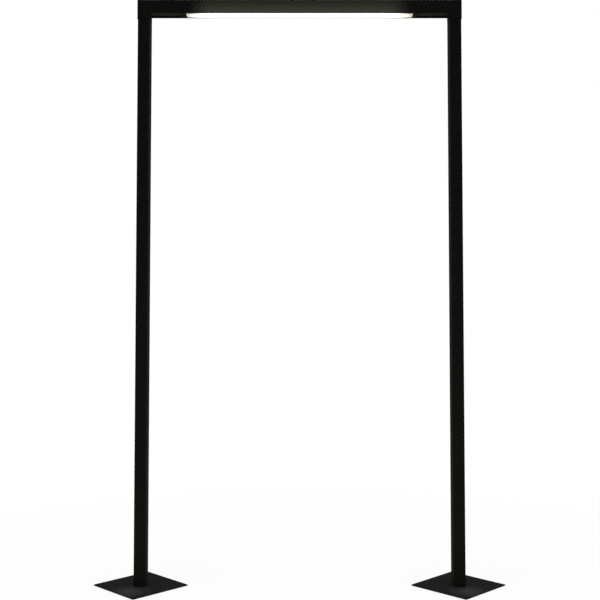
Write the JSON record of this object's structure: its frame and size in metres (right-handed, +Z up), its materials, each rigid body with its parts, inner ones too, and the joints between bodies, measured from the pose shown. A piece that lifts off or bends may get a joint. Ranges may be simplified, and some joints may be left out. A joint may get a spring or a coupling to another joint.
{
  "type": "outdoor floor lamp",
  "caption": "Gate-shaped outdoor floor lamp: slim rectangular posts on turned square plates carry a horizontal beam with a long opal light window in its underside.",
  "frame": {"origin": "on the floor, midway between the two posts", "axes": "+Z up, +X to the right seen from the front, front towards -Y"},
  "size_m": [1.391, 0.317, 2],
  "materials": {
    "frame_paint": "satin",
    "plate_paint": "satin",
    "black_plastic": "satin",
    "seal_rubber": "matte",
    "zinc_steel": "satin",
    "black_screw_steel": "satin",
    "bare_aluminium": "satin",
    "opal_plastic": "satin",
    "board_white": "satin",
    "emitter_yellow": "gloss",
    "driver_case": "matte",
    "terminal_plastic": "matte",
    "cable_sheath": "matte",
    "contact_plastic": "matte",
    "contact_brass": "satin",
    "black_anodised": "satin",
    "button_plastic": "satin"
  },
  "bodies": {
    "stand": {"base_plate_left": "plate_paint", "base_plate_right": "plate_paint", "base_screws_left": "black_screw_steel", "base_screws_right": "black_screw_steel", "clamp_screws_left": "black_screw_steel", "clamp_screws_right": "black_screw_steel", "dock_screws": "black_screw_steel", "dock_socket": "contact_plastic", "foot_block_left": "zinc_steel", "foot_block_right": "zinc_steel", "foot_pads_left": "seal_rubber", "foot_pads_right": "seal_rubber", "foot_screws_left": "black_screw_steel", "foot_screws_right": "black_screw_steel", "inlet_body": "black_anodised", "inlet_contacts": "contact_brass", "inlet_lead": "cable_sheath", "inlet_nut": "black_anodised", "inlet_seal": "seal_rubber", "post_left": "frame_paint", "post_right": "frame_paint", "rivet_nuts_left": "zinc_steel", "rivet_nuts_right": "zinc_steel", "switch_barrel": "black_anodised", "switch_lead": "cable_sheath", "switch_nut": "black_anodised", "switch_seal": "seal_rubber"},
    "head": {"beam_tube": "frame_paint", "cable_grommet": "seal_rubber", "corner_connector_left": "frame_paint", "corner_connector_right": "frame_paint", "corner_screws_left": "black_screw_steel", "corner_screws_right": "black_screw_steel", "dock_pins": "contact_brass", "dock_plug": "contact_plastic", "driver_lead": "cable_sheath", "driver_screws": "black_screw_steel", "end_cap_left": "black_plastic", "end_cap_right": "black_plastic", "head_lead": "cable_sheath", "led_board_1": "board_white", "led_board_2": "board_white", "led_board_3": "board_white", "led_driver": "driver_case", "led_emitters": "emitter_yellow", "led_lead": "cable_sheath", "led_profile": "bare_aluminium", "lens": "opal_plastic", "lens_end_left": "black_plastic", "lens_end_right": "black_plastic", "lens_end_screws": "black_screw_steel", "profile_gasket": "seal_rubber", "profile_screws": "black_screw_steel", "terminal_block": "terminal_plastic"},
    "button": {"dimmer_button": "button_plastic"}
  },
  "joints": [
    {"name": "head_lift", "type": "slide", "parent": "stand", "child": "head", "axis": [0, 0, 1], "range_m": [0, 0.08]},
    {"name": "dimmer_press", "type": "slide", "parent": "stand", "child": "button", "axis": [0, -1, 0], "range_m": [0, 0.0018], "stiffness_N_per_m": 300, "springref_m": -0.002}
  ]
}
